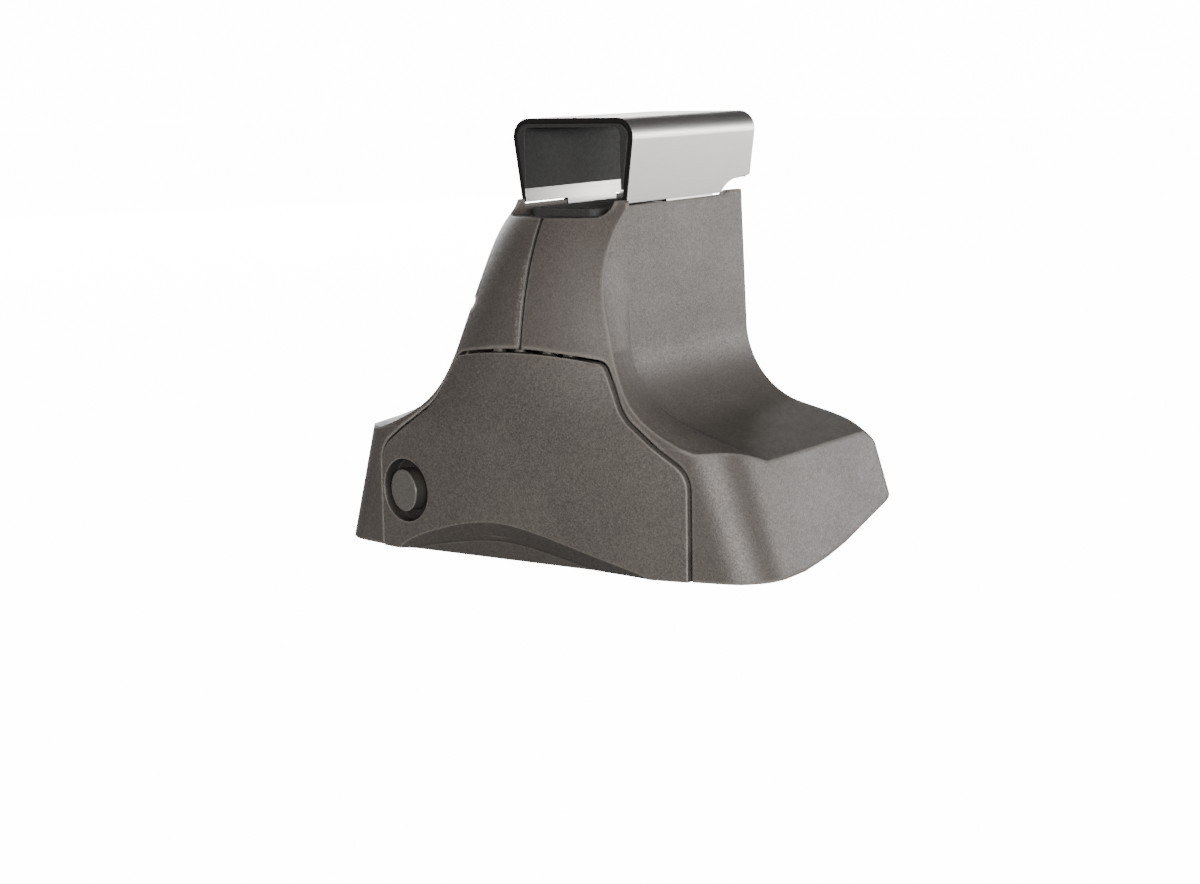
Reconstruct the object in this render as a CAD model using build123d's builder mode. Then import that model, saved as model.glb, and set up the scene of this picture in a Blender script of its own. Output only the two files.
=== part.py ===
from build123d import *
import os
from math import cos, radians, sin, sqrt, tan

# Roof bar foot. Millimetres, +Z up. The origin is the centre of the channel that
# holds the load bar: X runs along the car, Y along the bar towards the middle of
# the roof, and the cover faces -Y.

os.makedirs("parts", exist_ok=True)

# Load bar channel
bar_w = 32.0
bar_h = 22.0
bar_clear = 0.05
pad_t = 2.0
deck_z = -bar_h / 2 - pad_t
deck_t = 2.5
rim_z = -10.3

# Moulded housing
wall = 2.6
crown_z = -8.8
back_y = 27.0
shoe_back_y = 34.0
shoulder_back_z = -78.0
facet_back_y = -36.0
facet_front_y = -57.0
facet_steps = (0.0, 0.15, 0.3, 0.45, 0.6, 0.75, 0.88, 1.0)
facet_ease = 1.6
front_y = -63.2
front_r = 280.2
plan_top_z = 5.0
plan_low_z = -112.0
rim_half_w = 62.5
rim_half_z = -76.0
side_draft = 0.31
shoe_corner_r = 14.0
seam_gap = 0.12

# Flank outline where the facet meets the front, half width against height
facet_upper = [(18.9, -8.8), (19.0, -20.0), (19.8, -28.5), (22.4, -39.0), (25.2, -48.2)]
facet_lower = [(25.2, -48.2), (27.3, -53.5), (30.9, -59.5), (36.3, -65.0), (44.5, -69.8), (52.0, -72.9)]
facet_swell = [0.2, 0.3, 0.5, 1.0, 1.7, 2.3, 2.4, 2.5, 2.8, 3.0]

# Front surface: height, foremost point on the middle plane, radius in plan, half width of the arc
front_levels = [
    (-4.0, -43.2, 20.5, 18.5),
    (-14.0, -49.1, 22.8, 20.0),
    (-24.0, -54.5, 30.0, 23.5),
    (-34.0, -57.9, 38.5, 27.0),
    (-44.0, -60.1, 49.0, 31.0),
    (-54.0, -61.5, 68.0, 37.0),
    (-64.0, -62.5, 125.0, 50.0),
    (-74.0, -63.3, 280.0, 66.0),
    (-84.0, -64.2, 320.0, 70.0),
    (-94.0, -65.3, 320.0, 70.0),
    (-104.0, -66.6, 320.0, 70.0),
    (-114.0, -68.0, 320.0, 70.0),
]

# Roll-off of the rear corners: distance from the middle along a diagonal, and height
corner_angle = 34.0
corner_roll = [
    (52.0, -72.6),
    (55.1, -73.9),
    (59.5, -75.6),
    (63.4, -78.2),
    (66.2, -80.9),
    (68.4, -84.4),
    (69.8, -89.0),
    (70.9, -96.0),
]

# Front cover
cover_wall = 2.8
cover_gap = 0.9
cover_proud = 0.8
cover_edge_x = 51.3
hinge_y = -58.4
hinge_z = -51.8
hinge_pin_r = 1.0
hinge_x = 8.3
hinge_sweep_r = 4.85

# Lock in the cover's lower corner
lock_x = -42.0
lock_y = -61.5
lock_z = -90.0
lock_turn = 16.0
lock_r = 6.1
lock_recess_r = 9.0

# Arch over the finger recess, drawn on a plane in front of the cover
recess_arch = [
    (-49.0, -92.5),
    (-45.0, -89.3),
    (-39.0, -86.8),
    (-30.0, -84.8),
    (-22.0, -83.4),
    (-15.0, -82.6),
    (-8.0, -82.4),
    (0.0, -83.2),
    (8.0, -84.6),
    (15.5, -86.1),
    (23.0, -87.5),
    (30.0, -88.6),
    (37.0, -89.6),
    (43.0, -91.0),
    (49.0, -93.5),
]

# Clamping levers and screw
pin_r = 4.0
run_fit = 0.06
pivot_y = -12.0
pivot_z = -72.0
bridge_z = -40.0
nut_y = -15.0
screw_z = -93.4
hook_y = -44.0
hook_z = -76.0
lever_in = 6.3
lever_t = 2.5
frame_in = 9.3
frame_t = 2.5
leg_in = 12.3
strap_t = 1.5
strap_half_len = 33.0
strap_edge_z = -9.8
lift = 3.4

# Underside, inclined to the roof
base_slope = 11.8
base_t = 2.5


def finish(builder, label):
    builder.part.label = label
    export_step(builder.part, f"parts/{label}.step")


def drawn_in(points, inset):
    """Points moved in by a wall thickness, square to the line through their neighbours."""
    moved = []
    for i, (x, z) in enumerate(points):
        x0, z0 = points[max(i - 1, 0)]
        x1, z1 = points[min(i + 1, len(points) - 1)]
        run = sqrt((x1 - x0) ** 2 + (z1 - z0) ** 2)
        moved.append((x + inset * (z1 - z0) / run, z - inset * (x1 - x0) / run))
    return moved


def rear_flank(inset):
    """Rear flank: a leaning line, a hollow arc, then the shoulder."""
    cx, cz, r = 44.0, -48.2, 24.0 + inset
    a = radians(1.8)
    b = radians(76.5)
    start = (cx - r * cos(a), cz - r * sin(a))
    top = (start[0] - (crown_z - start[1]) * tan(a), crown_z)
    steps = len(facet_upper) - 1
    upper = [(top[0] + (start[0] - top[0]) * i / steps, top[1] + (start[1] - top[1]) * i / steps) for i in range(steps + 1)]
    steps = len(facet_lower) - 1
    turns = [a + (b - a) * i / steps for i in range(steps + 1)]
    lower = [(cx - r * cos(turn), cz - r * sin(turn)) for turn in turns]
    end = lower[-1]
    return upper, lower, (95.0, end[1] - (95.0 - end[0]) / tan(b))


def front_flank(inset):
    """Flank where the facet meets the front: two splines, then the shoulder."""
    points = drawn_in(facet_upper[:-1] + facet_lower, inset)
    upper = points[: len(facet_upper)]
    lower = points[len(facet_upper) - 1 :]
    upper[0] = (facet_upper[0][0] - inset, crown_z)
    end = lower[-1]
    return upper, lower, (95.0, end[1] - 0.2 * (95.0 - end[0]))


def between(front, rear, share):
    """Flank outline part of the way from the front one to the rear one, swollen in the middle."""
    fall = share**facet_ease
    lift_share = 4 * share * (1 - share)

    def mix(p, q):
        return (p[0] + fall * (q[0] - p[0]), p[1] + fall * (q[1] - p[1]))

    points = [mix(p, q) for p, q in zip(front[0][:-1] + front[1], rear[0][:-1] + rear[1])]
    swollen = [drawn_in(points, -lift_share * swell)[i] for i, swell in enumerate(facet_swell)]
    swollen[0] = (swollen[0][0], crown_z)
    out = mix(front[2], rear[2])
    joint = len(front[0])
    return swollen[:joint], swollen[joint - 1 :], (out[0], out[1] - lift_share * facet_swell[-1])


def flank_sketch(plane, flank):
    """Closed front-view outline, symmetric about X = 0."""
    upper, lower, out = flank
    with BuildSketch(plane) as sk:
        with BuildLine():
            Line((0, crown_z), upper[0])
            Spline(*upper)
            Spline(*lower)
            Line(lower[-1], out)
            Polyline(out, (out[0], -130), (0, -130), (0, crown_z))
        make_face()
        mirror(about=Plane.YZ)
    return sk.sketch


def front_tool(inset):
    """Everything behind the front surface."""
    with BuildPart() as tool:
        for z, y, r, half in front_levels:
            radius = r - inset
            width = half - inset
            front = y + inset
            edge = front + radius - sqrt(radius * radius - width * width)
            with BuildSketch(Plane.XY.offset(z)):
                with BuildLine():
                    ThreePointArc((-width, edge), (0, front), (width, edge))
                    Polyline(
                        (width, edge),
                        (82.0, edge + 6.0),
                        (82.0, 60.0),
                        (-82.0, 60.0),
                        (-82.0, edge + 6.0),
                        (-width, edge),
                    )
                make_face()
        loft()
    return tool.part


def plan_sketch(z, inset):
    """Plan outline of the shoe at height z."""
    half_w = rim_half_w + (rim_half_z - z) * side_draft - inset
    r = front_r - inset
    centre_y = front_y + front_r
    corner_y = centre_y - sqrt(r * r - half_w * half_w)
    rear_y = shoe_back_y - inset
    with BuildSketch(Plane.XY.offset(z)) as sk:
        with BuildLine():
            ThreePointArc((-half_w, corner_y), (0, front_y + inset), (half_w, corner_y))
            Polyline((half_w, corner_y), (half_w, rear_y), (-half_w, rear_y), (-half_w, corner_y))
        make_face()
        fillet(sk.vertices(), radius=shoe_corner_r - inset)
    return sk.sketch


def body_solid(inset):
    """Outer form of the foot, or the same form drawn in by a wall thickness."""
    inner = inset > 0
    with BuildPart() as plan:
        add(plan_sketch(plan_top_z, inset))
        add(plan_sketch(plan_low_z, inset))
        loft(ruled=True)
    with BuildPart() as side:
        low = -130 if inner else 0
        with BuildSketch(Plane.YZ):
            with BuildLine():
                Polyline(
                    (-90, 0),
                    (back_y - inset, 0),
                    (back_y - inset, shoulder_back_z - inset),
                    (shoe_back_y - inset, -88.5 - inset),
                    (shoe_back_y - inset, min(-94.7, low)),
                    (-8, min(-104.0, low)) if not inner else (0, low),
                    (-20, min(-105.9, low)),
                    (-33, min(-107.2, low)),
                    (-90, min(-107.2, low)),
                    (-90, 0),
                )
            make_face()
        extrude(amount=100, both=True)
    with BuildPart() as body:
        rear = rear_flank(inset)
        front = front_flank(inset)
        extrude(flank_sketch(Plane.XZ.offset(-shoe_back_y), rear), amount=shoe_back_y - facet_back_y)
        for share in facet_steps:
            y = facet_front_y + share * (facet_back_y - facet_front_y)
            add(flank_sketch(Plane.XZ.offset(-y), between(front, rear, share)))
        loft(ruled=True)
        extrude(flank_sketch(Plane.XZ.offset(-facet_front_y), front), amount=25)
        add(front_tool(inset), mode=Mode.INTERSECT)
        add(plan.part, mode=Mode.INTERSECT)
        add(side.part, mode=Mode.INTERSECT)
        roll = drawn_in(corner_roll, inset)
        turn = radians(corner_angle)
        for hand in (-1, 1):
            diagonal = Plane(origin=(0, 0, 0), x_dir=(hand * cos(turn), sin(turn), 0), z_dir=(sin(turn), -hand * cos(turn), 0))
            with BuildSketch(diagonal):
                with BuildLine():
                    Spline(*roll)
                    Polyline(roll[-1], (90, roll[-1][1]), (90, 10), (roll[0][0], 10), roll[0])
                make_face()
            extrude(amount=120, both=True, mode=Mode.SUBTRACT)
    return body.part


def cover_sketch(plane, grow):
    """Front-view outline of the cover, grown by the gap for its opening."""
    with BuildSketch(plane) as sk:
        with BuildLine():
            ThreePointArc((-24.2, -51.0), (0, -48.6), (24.2, -51.0))
            Polyline(
                (24.2, -51.0),
                (31.2, -64.6),
                (cover_edge_x, -78.7),
                (cover_edge_x, -125),
                (-cover_edge_x, -125),
                (-cover_edge_x, -78.7),
                (-31.2, -64.6),
                (-24.2, -51.0),
            )
        make_face()
        fillet([v for v in sk.vertices() if -79.0 < v.Y < -78.0], radius=8)
        fillet([v for v in sk.vertices() if -65.0 < v.Y < -64.0], radius=16)
        fillet([v for v in sk.vertices() if -51.5 < v.Y < -50.5], radius=3.5)
        if grow > 0:
            offset(amount=grow)
    return sk.sketch


outer = body_solid(0.0)
inner = body_solid(wall)
cover_outer = body_solid(-cover_proud)
cover_inner = body_solid(cover_wall - cover_proud)

# Housing: a shell in two halves, joined on the middle plane
leg_y = 12.6
leg_slot_y = 13.2
boss_spots = [(20.6, -30.0), (20.6, -60.0), (-50.0, -37.0)]
seat_spots = (hinge_x - 3.6, hinge_x + 3.6)
foot_bosses = [(-44.0, 1.5), (44.0, 1.5), (-44.0, 36.0), (44.0, 36.0)]
slope = radians(base_slope)
base_plane = Plane(origin=(0, -20, -105.4), x_dir=(1, 0, 0), z_dir=(0, -sin(slope), cos(slope)))

with BuildPart() as cavity:
    add(inner)
    with BuildSketch(Plane.XY.offset(deck_z - deck_t)):
        Rectangle(200, 200)
    extrude(amount=30, mode=Mode.SUBTRACT)

with BuildPart() as bosses:
    for boss_y, boss_z in boss_spots:
        with BuildSketch(Plane.YZ):
            with Locations((boss_y, boss_z)):
                Circle(3.3)
        extrude(amount=30, both=True)
    with BuildSketch(base_plane):
        with Locations(foot_bosses):
            Circle(4.5)
    extrude(amount=40)
    # wall that the lock's tongue turns behind
    with BuildSketch(Plane.XY.offset(-97)):
        with Locations((-54.4, -51.7)):
            Rectangle(4.2, 13.0)
    extrude(amount=14)
    add(outer, mode=Mode.INTERSECT)
    with BuildSketch(base_plane.offset(base_t)):
        Rectangle(300, 300)
    extrude(amount=-60, mode=Mode.SUBTRACT)

# seats for the hinge pins, reached from behind the cover
with BuildPart() as hinge_seats:
    for side in (-1, 1):
        for seat_x in seat_spots:
            hinge_plane = Plane(origin=(side * seat_x, hinge_y, hinge_z), x_dir=(0, 1, 0), z_dir=(1, 0, 0))
            with BuildSketch(hinge_plane):
                with BuildLine():
                    Polyline(
                        (-0.9, -2.4),
                        (5.4, -2.4),
                        (5.4, 10.8),
                        (0.4, 10.8),
                        (0.3, 4.9),
                        (2.5, 4.2),
                        (3.8, 3.2),
                        (2.8, 1.9),
                        (1.6, 0.8),
                        (0.6, 0.2),
                        (0, 0),
                        (-0.9, -0.1),
                        (-0.9, -2.4),
                    )
                make_face()
                Circle(hinge_pin_r, mode=Mode.SUBTRACT)
            extrude(amount=1.3, both=True)
    add(outer, mode=Mode.INTERSECT)

with BuildPart() as shell:
    add(outer)
    add(cavity.part, mode=Mode.SUBTRACT)
    # room behind the opening's upper edge for the cover to swing in
    with BuildSketch(Plane(origin=(0, hinge_y, hinge_z), x_dir=(1, 0, 0), z_dir=(0, -1, 0))):
        with BuildLine():
            ThreePointArc((-17, 2.4), (0, hinge_sweep_r), (17, 2.4))
            Polyline((17, 2.4), (20, 1.9), (24, 1.9), (24, 0), (-24, 0), (-24, 1.9), (-20, 1.9), (-17, 2.4))
        make_face()
    revolve(axis=Axis((0, hinge_y, hinge_z), (1, 0, 0)), mode=Mode.SUBTRACT)
    add(bosses.part)
    # saddle for the bar
    with BuildSketch(Plane.XZ.offset(80)) as saddle:
        with BuildLine():
            half = bar_w / 2 + 0.15
            Polyline((-half, 0), (-half, deck_z), (half, deck_z), (half, 0), (-half, 0))
        make_face()
        fillet([v for v in saddle.vertices() if v.Y < -1], radius=2.4)
    extrude(amount=-160, mode=Mode.SUBTRACT)
    # side rims, lower behind the front lip, with a hook at the inner end
    with BuildSketch(Plane.YZ):
        with BuildLine():
            Polyline(
                (-34.5, 0),
                (-33.6, rim_z),
                (18.0, rim_z),
                (21.0, -9.2),
                (back_y + 1, -9.2),
                (back_y + 1, 0),
                (-34.5, 0),
            )
        make_face()
    extrude(amount=40, both=True, mode=Mode.SUBTRACT)
    # slots for the strap's legs
    with BuildSketch(Plane.XY.offset(-30)):
        for side in (-1, 1):
            with Locations((side * 14.95, 0)):
                Rectangle(5.9, 2 * leg_slot_y)
    extrude(amount=30, mode=Mode.SUBTRACT)
    # opening for the front cover
    extrude(cover_sketch(Plane.XZ.offset(52.0), cover_gap), amount=40, mode=Mode.SUBTRACT)
    add(hinge_seats.part)
    # screw holes in the bosses
    for boss_y, boss_z in boss_spots:
        with BuildSketch(Plane.YZ.offset(-30)):
            with Locations((boss_y, boss_z)):
                Circle(1.55)
        extrude(amount=42, mode=Mode.SUBTRACT)
        with BuildSketch(Plane.YZ.offset(-16.0)):
            with Locations((boss_y, boss_z)):
                Circle(2.8)
        extrude(amount=-20, mode=Mode.SUBTRACT)
    with BuildSketch(base_plane):
        with Locations(foot_bosses):
            Circle(1.75)
    extrude(amount=14, mode=Mode.SUBTRACT)

with BuildPart() as left_cut:
    with Locations((-100 - seam_gap, 0, 0)):
        Box(200, 400, 400)
with BuildPart() as right_cut:
    with Locations((100 + seam_gap, 0, 0)):
        Box(200, 400, 400)
with BuildPart() as housing_left:
    add(shell.part)
    add(left_cut.part, mode=Mode.INTERSECT)
with BuildPart() as housing_right:
    add(shell.part)
    add(right_cut.part, mode=Mode.INTERSECT)
finish(housing_left, "housing_left")
finish(housing_right, "housing_right")

# Screws that draw the halves together
with BuildPart() as housing_screws:
    for boss_y, boss_z in boss_spots:
        with BuildSketch(Plane.YZ.offset(-16.1)):
            with Locations((boss_y, boss_z)):
                Circle(2.7)
        extrude(amount=-1.7)
        with BuildSketch(Plane.YZ.offset(-16.1)):
            with Locations((boss_y, boss_z)):
                Circle(1.5)
        extrude(amount=26)
finish(housing_screws, "housing_screws")

# Rubber pad under the bar, ribbed across
with BuildPart() as cradle_pad:
    with BuildSketch(Plane.XY.offset(deck_z)):
        with Locations((0, -8.0)):
            RectangleRounded(23.2, 62.0, 3.0)
    extrude(amount=pad_t)
    for step in range(9):
        with BuildSketch(Plane.XZ.offset(34.0 - step * 6.5)):
            with Locations((0, -bar_h / 2)):
                Rectangle(30, 1.2)
        extrude(amount=-1.6, mode=Mode.SUBTRACT)
finish(cradle_pad, "cradle_pad")

# Strap over the bar, with two joggled legs
with BuildPart() as bar_strap:
    with BuildSketch(Plane.XZ.offset(strap_half_len)) as strap_section:
        with BuildLine():
            Polyline(
                (-17.6, strap_edge_z),
                (-20.9, 13.6),
                (20.9, 13.6),
                (17.6, strap_edge_z),
                (17.6 - strap_t, strap_edge_z),
                (20.9 - strap_t - 0.2, 13.6 - strap_t),
                (-20.9 + strap_t + 0.2, 13.6 - strap_t),
                (-17.6 + strap_t, strap_edge_z),
                (-17.6, strap_edge_z),
            )
        make_face()
        fillet([v for v in strap_section.vertices() if v.Y > 13.0], radius=5.2)
        fillet([v for v in strap_section.vertices() if 11.0 < v.Y < 12.9 and abs(v.X) > 18.9], radius=3.7)
    extrude(amount=-2 * strap_half_len)
    # curved relief in the lower inner corners
    with BuildSketch(Plane.YZ):
        with BuildLine():
            ThreePointArc((16.5, strap_edge_z - 0.6), (20.0, -7.4), (26.0, -6.0))
            Polyline((26.0, -6.0), (34.0, -5.2), (34.0, -12), (16.5, -12), (16.5, strap_edge_z - 0.6))
        make_face()
    extrude(amount=30, both=True, mode=Mode.SUBTRACT)
    for side in (-1, 1):
        with BuildSketch(Plane.XZ.offset(leg_y)) as leg_section:
            with BuildLine():
                Polyline(
                    (side * 16.5, strap_edge_z + 0.5),
                    (side * 16.1, strap_edge_z),
                    (side * 16.1, -11.8),
                    (side * leg_in, -17.4),
                    (side * leg_in, -45.6),
                    (side * (leg_in + strap_t), -45.6),
                    (side * (leg_in + strap_t), -17.0),
                    (side * (16.1 + strap_t), -11.4),
                    (side * (16.1 + strap_t), strap_edge_z),
                    (side * 17.2, strap_edge_z + 0.5),
                    (side * 16.5, strap_edge_z + 0.5),
                )
            make_face()
        extrude(amount=-2 * leg_y)
    with BuildSketch(Plane.YZ):
        with Locations((0, bridge_z)):
            Circle(pin_r)
    extrude(amount=30, both=True, mode=Mode.SUBTRACT)
finish(bar_strap, "bar_strap")

# Soft liner between strap and bar
with BuildPart() as strap_liner:
    with BuildSketch(Plane.XZ.offset(strap_half_len + 0.4)) as liner_section:
        with BuildLine():
            Polyline(
                (-16.05, -6.0),
                (-16.05, 11.05),
                (16.05, 11.05),
                (16.05, -6.0),
                (16.6, -6.0),
                (19.15, 12.05),
                (-19.15, 12.05),
                (-16.6, -6.0),
                (-16.05, -6.0),
            )
        make_face()
        fillet([v for v in liner_section.vertices() if v.Y > 11.5], radius=3.7)
        fillet([v for v in liner_section.vertices() if 11.0 < v.Y < 11.1], radius=2.0)
    extrude(amount=-2 * strap_half_len - 0.8)
    for step in range(8):
        with BuildSketch(Plane.XZ.offset(29.0 - step * 8.0)):
            with Locations((0, 11.0)):
                Rectangle(26, 0.9)
        extrude(amount=-2.0, mode=Mode.SUBTRACT)
finish(strap_liner, "strap_liner")

# Pin that joins the strap's legs, with its clips
with BuildPart() as bridge_pin:
    with BuildSketch(Plane.YZ):
        with Locations((0, bridge_z)):
            Circle(pin_r)
    extrude(amount=15.4, both=True)
    chamfer(bridge_pin.edges().filter_by(GeomType.CIRCLE), length=0.6)
finish(bridge_pin, "bridge_pin")

with BuildPart() as bridge_clips:
    for side in (-1, 1):
        with BuildSketch(Plane.YZ.offset(side * (leg_in + strap_t))):
            with Locations((0, bridge_z)):
                Circle(6.4)
                Circle(pin_r, mode=Mode.SUBTRACT)
            with Locations((0, bridge_z + 6.0)):
                Rectangle(4.4, 6.0, mode=Mode.SUBTRACT)
        extrude(amount=side * 0.9)
finish(bridge_clips, "bridge_clips")

# Pressed steel frame: two cheeks, a top bridge under the deck and a front web
web_y = -50.0
web_t = 2.8
floor_y = web_y + 2.0


def base_height(y):
    """Height of the base plate's upper face at depth y."""
    return -105.4 + base_t / cos(slope) + (y + 20.0) * tan(slope)


with BuildPart() as steel_frame:
    for side in (-1, 1):
        with BuildSketch(Plane.YZ.offset(side * frame_in)):
            with BuildLine():
                Polyline(
                    (-30.0, deck_z - deck_t),
                    (15.5, deck_z - deck_t),
                    (15.5, -62.0),
                    (18.0, -70.0),
                    (18.0, base_height(18.0)),
                    (-24.0, base_height(-24.0)),
                    (-30.0, -103.6),
                    (web_y, -103.6),
                    (web_y, -88.0),
                    (-33.0, -88.0),
                    (-30.0, -82.0),
                    (-30.0, deck_z - deck_t),
                )
            make_face()
            with Locations((0, bridge_z + lift / 2)):
                SlotOverall(2 * pin_r + lift + 0.8, 2 * pin_r + 0.5, rotation=90, mode=Mode.SUBTRACT)
            with Locations((pivot_y, pivot_z)):
                Circle(pin_r, mode=Mode.SUBTRACT)
        extrude(amount=side * frame_t)
    with BuildSketch(Plane.XY.offset(deck_z - deck_t)):
        with Locations((0, -7.25)):
            Rectangle(2 * (frame_in + frame_t), 45.5)
    extrude(amount=-2.5)
    with BuildSketch(Plane.XZ.offset(-web_y)):
        with Locations((0, -95.2)):
            RectangleRounded(40.0, 17.6, 3.0)
        with Locations((0, screw_z)):
            Circle(4.3, mode=Mode.SUBTRACT)
    extrude(amount=-web_t)
    # feet that lie on the base plate
    for side in (-1, 1):
        with BuildSketch(base_plane.offset(base_t)):
            with Locations((side * 18.4, 22.0)):
                Rectangle(18.2, 32.0)
            for foot_v in (12.0, 32.0):
                with Locations((side * 21.0, foot_v)):
                    Circle(2.6, mode=Mode.SUBTRACT)
        extrude(amount=2.5)
finish(steel_frame, "steel_frame")

# Inclined base plate that the roof pad seats under
with BuildPart() as base_plate:
    with BuildSketch(base_plane):
        with Locations((0, 19.0)):
            RectangleRounded(108.0, 55.0, 8.0)
        for side in (-1, 1):
            for foot_v in (12.0, 32.0):
                with Locations((side * 21.0, foot_v)):
                    Circle(2.1, mode=Mode.SUBTRACT)
            with Locations((side * 34.0, 19.0)):
                Circle(4.0, mode=Mode.SUBTRACT)
    extrude(amount=base_t)
    with BuildSketch(base_plane):
        with Locations(foot_bosses):
            Circle(2.1)
    extrude(amount=base_t, mode=Mode.SUBTRACT)
    with BuildSketch(base_plane):
        with Locations(foot_bosses):
            Circle(4.2)
    extrude(amount=1.5, mode=Mode.SUBTRACT)
finish(base_plate, "base_plate")

with BuildPart() as frame_bolts:
    for side in (-1, 1):
        for foot_v in (12.0, 32.0):
            with BuildSketch(base_plane.offset(base_t + 2.5)):
                with Locations((side * 21.0, foot_v)):
                    RegularPolygon(4.0, 6)
            extrude(amount=3.0)
            with BuildSketch(base_plane.offset(0.2)):
                with Locations((side * 21.0, foot_v)):
                    Circle(2.0)
            extrude(amount=base_t + 2.3)
finish(frame_bolts, "frame_bolts")

with BuildPart() as base_screws:
    with BuildSketch(base_plane.offset(0.2)):
        with Locations(foot_bosses):
            Circle(3.8)
    extrude(amount=1.3)
    with BuildSketch(base_plane.offset(1.4)):
        with Locations(foot_bosses):
            Circle(1.7)
    extrude(amount=12.0)
    with BuildSketch(base_plane):
        with Locations(foot_bosses):
            Rectangle(4.6, 0.9)
            Rectangle(0.9, 4.6)
    extrude(amount=0.9, mode=Mode.SUBTRACT)
finish(base_screws, "base_screws")

# Lever pair, its pivot pin, spacer, clips and the pin that takes the bracket
lever_slot_y0 = bridge_z - pivot_z
with BuildPart() as lever_plates:
    for side in (-1, 1):
        with BuildSketch(Plane.YZ.offset(side * lever_in)) as lever_face:
            with BuildLine():
                Polyline(
                    (-5.5, -31.5),
                    (15.8, -31.5),
                    (15.8, -48.5),
                    (3.0, -52.0),
                    (-3.0, -66.0),
                    (-5.0, -78.0),
                    (-9.0, -93.4),
                    (-10.5, -98.2),
                    (-15.0, -99.4),
                    (-19.5, -98.2),
                    (-21.2, -93.4),
                    (-21.0, -84.0),
                    (-40.0, -81.5),
                    (-48.2, -81.5),
                    (-48.2, -70.4),
                    (-38.0, -68.5),
                    (-22.0, -66.0),
                    (-14.0, -52.0),
                    (-5.5, -31.5),
                )
            make_face()
            fillet(lever_face.vertices(), radius=1.8)
            with Locations((3.9, bridge_z)):
                SlotOverall(17.0, 2 * pin_r + 0.9, mode=Mode.SUBTRACT)
            with Locations((pivot_y, pivot_z), (nut_y, screw_z)):
                Circle(pin_r + run_fit, mode=Mode.SUBTRACT)
            with Locations((hook_y, hook_z)):
                Circle(3.0, mode=Mode.SUBTRACT)
        extrude(amount=side * lever_t)
finish(lever_plates, "lever_plates")

with BuildPart() as lever_spacer:
    with BuildSketch(Plane.YZ):
        with Locations((pivot_y, pivot_z)):
            Circle(6.4)
            Circle(pin_r + run_fit, mode=Mode.SUBTRACT)
    extrude(amount=lever_in, both=True)
finish(lever_spacer, "lever_spacer")

with BuildPart() as bracket_pin:
    with BuildSketch(Plane.YZ):
        with Locations((hook_y, hook_z)):
            Circle(3.0)
    extrude(amount=23.0, both=True)
    with BuildSketch(Plane.YZ.offset(-23.0)):
        with Locations((hook_y, hook_z)):
            Circle(4.4)
    extrude(amount=-1.6)
    with BuildSketch(Plane.YZ.offset(23.0)):
        with Locations((hook_y, hook_z)):
            Circle(4.4)
    extrude(amount=1.6)
finish(bracket_pin, "bracket_pin")

with BuildPart() as pivot_pin:
    with BuildSketch(Plane.YZ):
        with Locations((pivot_y, pivot_z)):
            Circle(pin_r)
    extrude(amount=13.8, both=True)
    chamfer(pivot_pin.edges().filter_by(GeomType.CIRCLE), length=0.5)
finish(pivot_pin, "pivot_pin")

with BuildPart() as pivot_clips:
    for side in (-1, 1):
        with BuildSketch(Plane.YZ.offset(side * (frame_in + frame_t))):
            with Locations((pivot_y, pivot_z)):
                Circle(6.4)
                Circle(pin_r, mode=Mode.SUBTRACT)
            with Locations((pivot_y, pivot_z + 6.0)):
                Rectangle(4.4, 6.0, mode=Mode.SUBTRACT)
        extrude(amount=side * 0.9)
finish(pivot_clips, "pivot_clips")

# Tension screw, its washers and the trunnion nut it turns in
head_y = -52.0
with BuildPart() as screw_washer:
    with BuildSketch(Plane.XZ.offset(-web_y)):
        with Locations((0, screw_z)):
            Circle(6.8)
            Circle(4.3, mode=Mode.SUBTRACT)
    extrude(amount=1.6)
finish(screw_washer, "screw_washer")

with BuildPart() as tension_screw:
    with BuildSketch(Plane.XZ.offset(51.7)):
        with Locations((0, screw_z)):
            Circle(6.5)
    extrude(amount=7.6)
    chamfer(tension_screw.edges().filter_by(GeomType.CIRCLE).group_by(Axis.Y)[0], length=0.7)
    with BuildSketch(Plane.XZ.offset(59.3)):
        with Locations((0, screw_z)):
            RegularPolygon(3.46, 6)
    extrude(amount=-4.6, mode=Mode.SUBTRACT)
    with BuildSketch(Plane.XZ.offset(51.7)):
        with Locations((0, screw_z)):
            Circle(pin_r - run_fit)
    extrude(amount=-50.2)
    chamfer(tension_screw.edges().filter_by(GeomType.CIRCLE).group_by(Axis.Y)[-1], length=0.8)
finish(tension_screw, "tension_screw")

with BuildPart() as screw_clip:
    with BuildSketch(Plane.XZ.offset(46.9)):
        with Locations((0, screw_z)):
            Circle(6.6)
            Circle(pin_r - run_fit, mode=Mode.SUBTRACT)
        with Locations((0, screw_z + 6.2)):
            Rectangle(4.4, 6.0, mode=Mode.SUBTRACT)
    extrude(amount=-1.0)
finish(screw_clip, "screw_clip")

with BuildPart() as trunnion_nut:
    with BuildSketch(Plane.YZ):
        with Locations((nut_y, screw_z)):
            Circle(6.5)
    extrude(amount=lever_in - 0.3, both=True)
    with BuildSketch(Plane.YZ):
        with Locations((nut_y, screw_z)):
            Circle(pin_r)
    extrude(amount=lever_in + lever_t, both=True)
    with BuildSketch(Plane.XZ.offset(-nut_y + 10)):
        with Locations((0, screw_z)):
            Circle(4.2)
    extrude(amount=-20, mode=Mode.SUBTRACT)
finish(trunnion_nut, "trunnion_nut")

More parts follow.
